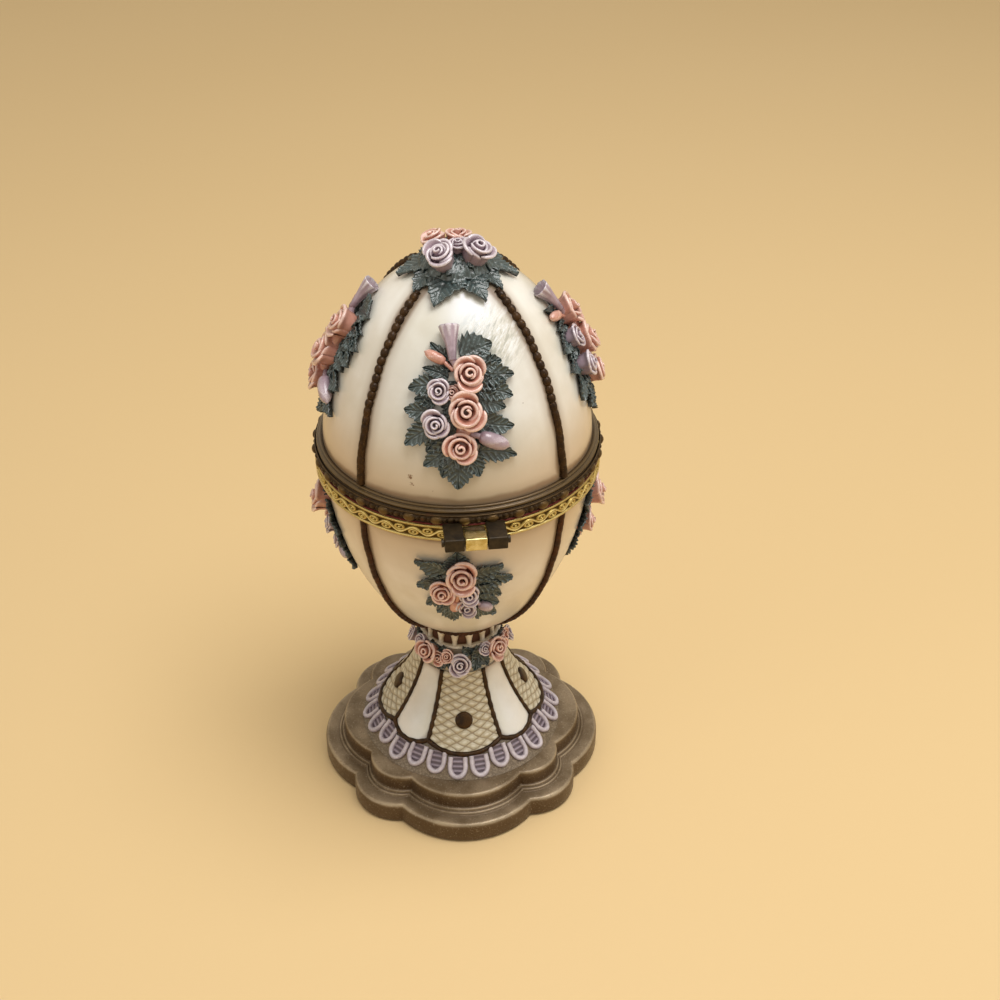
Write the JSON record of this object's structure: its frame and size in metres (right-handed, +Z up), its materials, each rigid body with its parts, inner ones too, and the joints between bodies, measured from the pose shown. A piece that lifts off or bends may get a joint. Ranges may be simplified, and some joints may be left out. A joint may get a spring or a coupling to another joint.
{
  "type": "hinged egg box on stand",
  "caption": "Egg-shaped trinket box on a flared pedestal and lobed plinth, its lid hinged at the metal rim and decked with applied rose sprays, cords and a lace border.",
  "frame": {"origin": "on the table under the egg's axis, at the centre of the felt pad's underside", "axes": "+Z up along the egg's axis, the hinge towards -Y, +X to the right as the hinge is looked at"},
  "size_m": [0.0764, 0.0799, 0.1568],
  "materials": {
    "felt": "short-napped felt",
    "plinth_bronze": "cast resin under worn pewter-bronze metallic paint",
    "pearl_resin": "cast resin, pearl white lacquer, brown wash in the hollows",
    "ivory_resin": "cast resin, ivory paint with a brown wash",
    "bronze_paint": "cast resin, dark bronze paint",
    "brown_paint": "brown wash",
    "lilac_white": "pale lilac paint",
    "lavender": "lavender paint",
    "leaf_green": "blue-green paint, edges dry-brushed pale",
    "rose_pink": "salmon pink paint, petal edges dry-brushed pale",
    "rose_lilac": "dusty lilac paint, petal edges dry-brushed pale",
    "bright_brass": "stamped, bright gilt",
    "dark_brass": "stamped, antiqued dark"
  },
  "bodies": {
    "stand": {"felt_pad": "felt", "plinth": "plinth_bronze", "pedestal": "pearl_resin", "quilted_tongues": "ivory_resin", "plain_tongues": "pearl_resin", "outline_cords": "bronze_paint", "pedestal_studs": "bronze_paint", "lace_loops": "lilac_white", "lace_grounds": "lavender", "neck_collar": "brown_paint", "neck_arcade": "ivory_resin", "neck_rope": "bronze_paint", "garland_leaves": "leaf_green", "garland_pink_roses": "rose_pink", "garland_lilac_roses": "rose_lilac", "bowl_shell": "pearl_resin", "bowl_cords": "bronze_paint", "bowl_rim": "bright_brass", "bowl_hinge_leaf": "bright_brass", "hinge_pin": "dark_brass", "bowl_leaves_front": "leaf_green", "bowl_pink_roses_front": "rose_pink", "bowl_lilac_roses_front": "rose_lilac", "bowl_leaves_right": "leaf_green", "bowl_pink_roses_right": "rose_pink", "bowl_lilac_roses_right": "rose_lilac", "bowl_leaves_back": "leaf_green", "bowl_pink_roses_back": "rose_pink", "bowl_lilac_roses_back": "rose_lilac", "bowl_leaves_left": "leaf_green", "bowl_pink_roses_left": "rose_pink", "bowl_lilac_roses_left": "rose_lilac"},
    "lid": {"lid_shell": "pearl_resin", "lid_cords": "bronze_paint", "lid_bead": "bronze_paint", "lid_rim": "dark_brass", "lid_hinge_leaf": "dark_brass", "top_leaves": "leaf_green", "top_pink_roses": "rose_pink", "top_lilac_roses": "rose_lilac", "lid_leaves_front": "leaf_green", "lid_pink_roses_front": "rose_pink", "lid_lilac_roses_front": "rose_lilac", "lid_leaves_right": "leaf_green", "lid_pink_roses_right": "rose_pink", "lid_lilac_roses_right": "rose_lilac", "lid_leaves_back": "leaf_green", "lid_pink_roses_back": "rose_pink", "lid_lilac_roses_back": "rose_lilac", "lid_leaves_left": "leaf_green", "lid_pink_roses_left": "rose_pink", "lid_lilac_roses_left": "rose_lilac"}
  },
  "joints": [
    {"name": "lid_hinge", "type": "hinge", "parent": "stand", "child": "lid", "pos_m": [0.00229, -0.03968, 0.10113], "axis": [0.9983, 0.0576, 0], "range_deg": [0, 100]}
  ]
}
